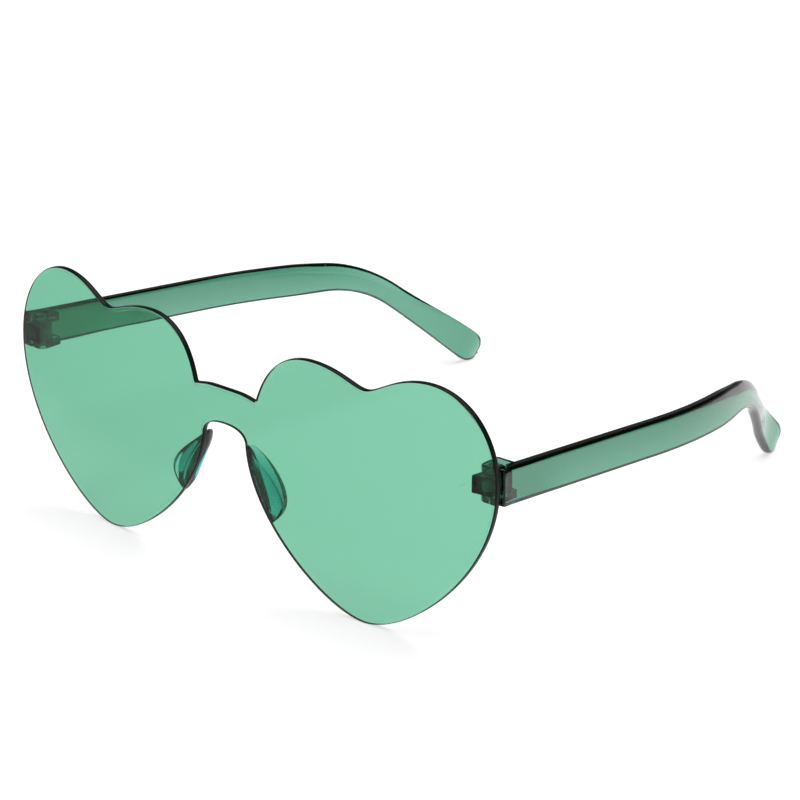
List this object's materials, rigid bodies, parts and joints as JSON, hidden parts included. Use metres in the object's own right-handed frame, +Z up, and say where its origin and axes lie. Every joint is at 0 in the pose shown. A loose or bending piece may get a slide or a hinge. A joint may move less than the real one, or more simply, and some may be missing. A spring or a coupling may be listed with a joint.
{
  "type": "heart shaped sunglasses",
  "caption": "One-piece rimless sunglasses in clear green plastic: a curved heart-shaped lens sheet with bonded nose pads and temples that fold on screwed hinges.",
  "frame": {"origin": "on the table, in the middle of the whole length and width, with the glasses standing open on the heart tips and the temple tips", "axes": "+X to the wearer's left, +Y from the lens towards the ears, +Z up"},
  "size_m": [0.148, 0.1453, 0.0589],
  "materials": {
    "lens": "clear tinted green, polished",
    "nose_pad": "clear tinted green, moulded gloss",
    "bracket": "clear tinted green, moulded gloss",
    "temple": "clear tinted green, moulded gloss",
    "screw": "turned steel"
  },
  "bodies": {
    "front": {"lens_shield": "lens", "left_nose_pad": "nose_pad", "right_nose_pad": "nose_pad", "left_hinge_bracket": "bracket", "right_hinge_bracket": "bracket"},
    "left_temple": {"left_temple": "temple", "left_hinge_screw": "screw"},
    "right_temple": {"right_temple": "temple", "right_hinge_screw": "screw"}
  },
  "joints": [
    {"name": "left_temple_fold", "type": "hinge", "parent": "front", "child": "left_temple", "pos_m": [0.0696, -0.06251, 0.0393], "axis": [0, 0, 1], "range_deg": [0, 82]},
    {"name": "right_temple_fold", "type": "hinge", "parent": "front", "child": "right_temple", "pos_m": [-0.0696, -0.06251, 0.0393], "axis": [0, 0, -1], "range_deg": [0, 76]}
  ]
}
